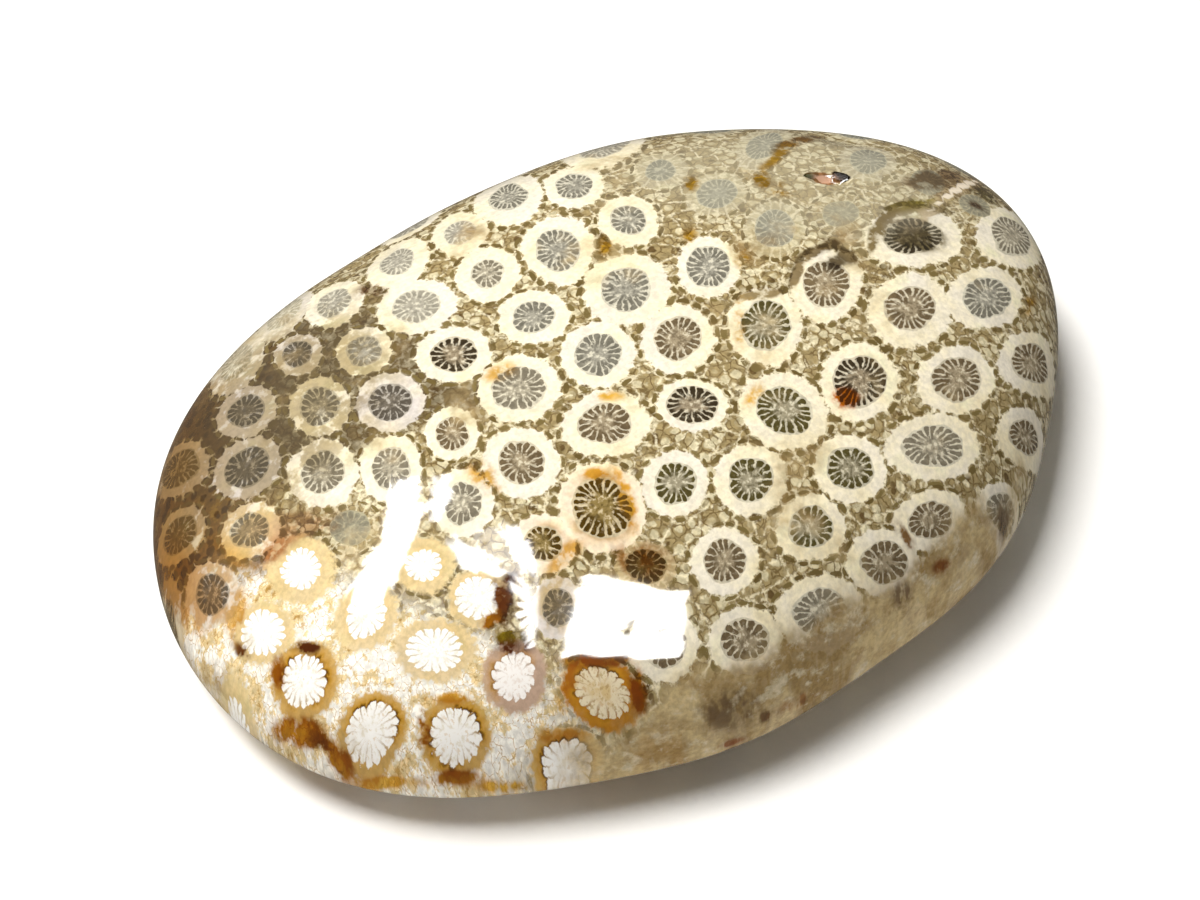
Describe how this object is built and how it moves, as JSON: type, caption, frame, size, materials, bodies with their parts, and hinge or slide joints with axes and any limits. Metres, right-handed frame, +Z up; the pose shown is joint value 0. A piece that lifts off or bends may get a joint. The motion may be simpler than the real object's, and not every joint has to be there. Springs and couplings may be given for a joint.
{
  "type": "polished fossil coral stone",
  "caption": "Polished domed oval palm stone cut from a fossil coral head, showing round coral cups, resting on its ground underside.",
  "frame": {"origin": "on the resting surface, under the middle of the stone's outline", "axes": "+X along the stone towards its narrower end, +Z up out of the dome"},
  "size_m": [0.0685, 0.0466, 0.019],
  "materials": {
    "polished_coral": "high polish on silicified coral: cream cup walls, grey and brown cups, olive and tan matrix, ochre stains"
  },
  "bodies": {
    "root": {"coral_stone": "polished_coral"}
  },
  "joints": []
}
